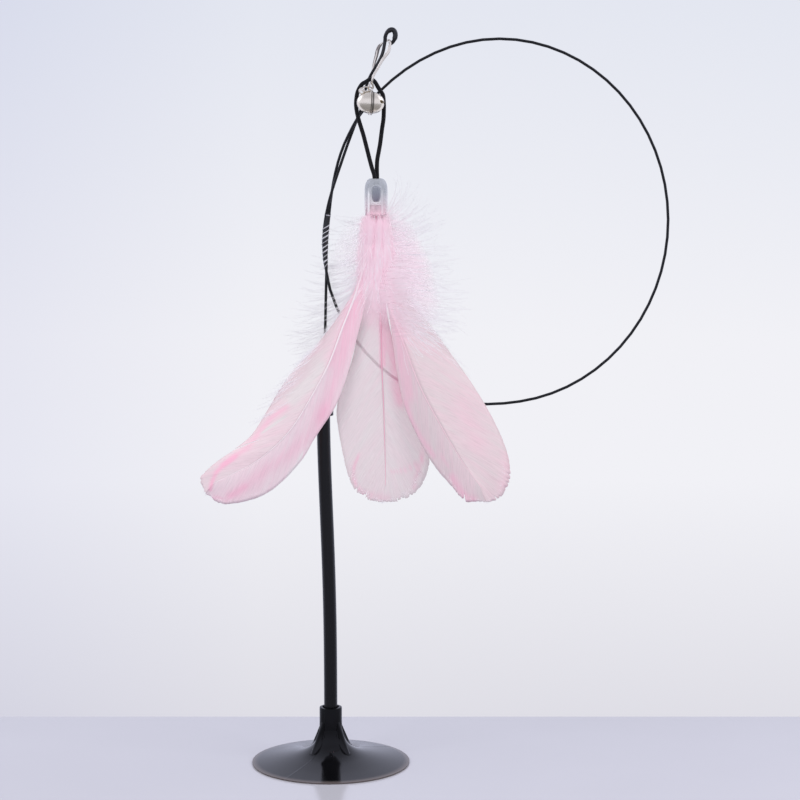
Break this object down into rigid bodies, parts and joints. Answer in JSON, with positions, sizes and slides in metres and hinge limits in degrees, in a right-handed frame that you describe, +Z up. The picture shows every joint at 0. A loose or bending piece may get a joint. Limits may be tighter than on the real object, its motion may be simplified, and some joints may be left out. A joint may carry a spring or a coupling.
{
  "type": "cat teaser",
  "caption": "Cat teaser on a suction cup: a spring-wire ring on a tube holds a feather lure and a bell by a snap hook.",
  "frame": {"origin": "centre of the suction cup's underside, on the surface it stands on", "axes": "+Z up the pole, +X from the pole towards the middle of the wire ring, -Y the front where the lure hangs"},
  "size_m": [0.2327, 0.08, 0.3697],
  "materials": {
    "soft_vinyl": "semi-gloss moulded",
    "black_tube": "satin extruded",
    "coated_wire": "satin black coating on spring steel",
    "black_tape": "wound film with light edges",
    "plated_steel": "bright nickel plate",
    "plated_bell": "bright nickel plate",
    "black_elastic": "round braided elastic",
    "clear_glue": "cloudy set glue",
    "frosted_cap": "frosted soft plastic",
    "pink_feather": "dyed feather"
  },
  "bodies": {
    "base": {"suction_cup": "soft_vinyl"},
    "wand": {"pole_tube": "black_tube", "tube_end_cap": "black_tube", "spring_wire": "coated_wire", "binding_wrap": "black_tape", "tape_cuff": "black_tape"},
    "snap": {"snap_wire": "plated_steel"},
    "gate": {"snap_gate": "plated_steel"},
    "lure": {"elastic_cord": "black_elastic", "cord_knot": "black_elastic", "glue_plug": "clear_glue", "lure_cap": "frosted_cap", "feather_left": "pink_feather", "feather_middle": "pink_feather", "feather_right": "pink_feather"},
    "bell": {"bell_upper_shell": "plated_bell", "bell_lower_shell": "plated_bell", "bell_loop": "plated_steel", "bell_jump_ring": "plated_steel"},
    "pea": {"bell_pea": "plated_steel"}
  },
  "joints": [
    {"name": "pole_turn", "type": "hinge", "parent": "base", "child": "wand", "pos_m": [0, 0, 0.018], "axis": [0, 0, 1], "continuous": true},
    {"name": "snap_swing", "type": "hinge", "parent": "wand", "child": "snap", "pos_m": [0.02976, 0, 0.3636], "axis": [0, 1, 0], "range_deg": [-10, 0]},
    {"name": "gate_open", "type": "hinge", "parent": "snap", "child": "gate", "pos_m": [0.02046, -0.006, 0.34239], "axis": [1, 0, 0], "range_deg": [-14, 0], "stiffness_Nm_per_rad": 0.002, "springref_deg": 5.73},
    {"name": "lure_swing", "type": "hinge", "parent": "snap", "child": "lure", "pos_m": [0.02087, -0.006, 0.3446], "axis": [1, 0, 0], "range_deg": [-12, 0]},
    {"name": "bell_swing", "type": "hinge", "parent": "snap", "child": "bell", "pos_m": [0.02087, -0.007, 0.3408], "axis": [1, 0, 0], "range_deg": [-40, 0]},
    {"name": "pea_rattle", "type": "slide", "parent": "bell", "child": "pea", "axis": [-0.5824, -0.251, 0.7732], "range_m": [0, 0.0055]}
  ]
}
